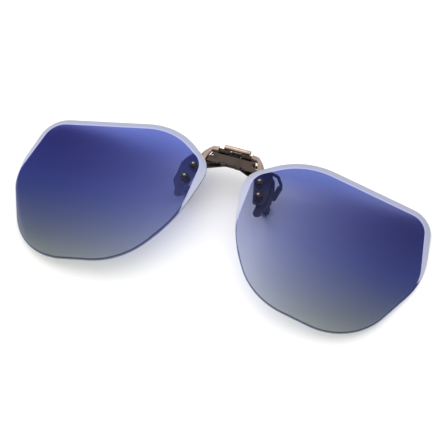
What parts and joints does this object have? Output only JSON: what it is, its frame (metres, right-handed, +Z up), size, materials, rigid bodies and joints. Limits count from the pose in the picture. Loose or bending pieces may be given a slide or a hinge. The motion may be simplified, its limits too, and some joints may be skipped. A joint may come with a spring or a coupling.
{
  "type": "clip-on sunglasses",
  "caption": "Rimless tinted lenses riveted to a flip-up bridge, with a sprung four-claw clamp that grips a pair of spectacles.",
  "frame": {"origin": "on the table under the middle of the pair's bounding box, with the pair lying on its back", "axes": "+X towards the lens on the right, +Y from the bottom of the lenses to their top, +Z up, the way the lens fronts face"},
  "size_m": [0.1294, 0.0516, 0.0127],
  "materials": {
    "tinted_lens": "polished, blue-grey tint that pales towards the bottom",
    "bridge_bronze": "satin bronze plating",
    "clamp_bronze": "satin dark bronze plating",
    "claw_wire": "satin dark bronze plating",
    "roll_bronze": "bright rose-bronze plating",
    "rivet_metal": "polished gunmetal",
    "pin_steel": "plain drawn steel",
    "spring_wire": "oiled spring wire",
    "nylon_washer": "moulded nylon",
    "claw_sleeve": "matt soft sleeve"
  },
  "bodies": {
    "clamp": {"hinge_pin": "pin_steel", "left_friction_washer": "pin_steel", "right_friction_washer": "pin_steel", "jaw_plate": "clamp_bronze", "left_lower_claw": "clamp_bronze", "right_lower_claw": "clamp_bronze", "left_lower_sleeve": "claw_sleeve", "right_lower_sleeve": "claw_sleeve", "torsion_spring": "spring_wire"},
    "lens_frame": {"left_lens": "tinted_lens", "left_lens_rivets": "rivet_metal", "left_lens_washers": "nylon_washer", "left_rivet_collars": "rivet_metal", "left_lens_bracket": "bridge_bronze", "right_lens": "tinted_lens", "right_lens_rivets": "rivet_metal", "right_lens_washers": "nylon_washer", "right_rivet_collars": "rivet_metal", "right_lens_bracket": "bridge_bronze", "bridge_plate": "bridge_bronze"},
    "upper_jaw": {"jaw_lever": "clamp_bronze", "thumb_roll": "roll_bronze", "left_upper_claw": "claw_wire", "right_upper_claw": "claw_wire", "left_upper_sleeve": "claw_sleeve", "right_upper_sleeve": "claw_sleeve"}
  },
  "joints": [
    {"name": "flip", "type": "hinge", "parent": "clamp", "child": "lens_frame", "pos_m": [0, 0.02133, 0.01011], "axis": [-1, 0, 0], "range_deg": [0, 90]},
    {"name": "jaw_open", "type": "hinge", "parent": "clamp", "child": "upper_jaw", "pos_m": [0, 0.02133, 0.01011], "axis": [1, 0, 0], "range_deg": [0, 20], "stiffness_Nm_per_rad": 0.02, "springref_deg": -28.65, "deforming": ["torsion_spring"]}
  ]
}
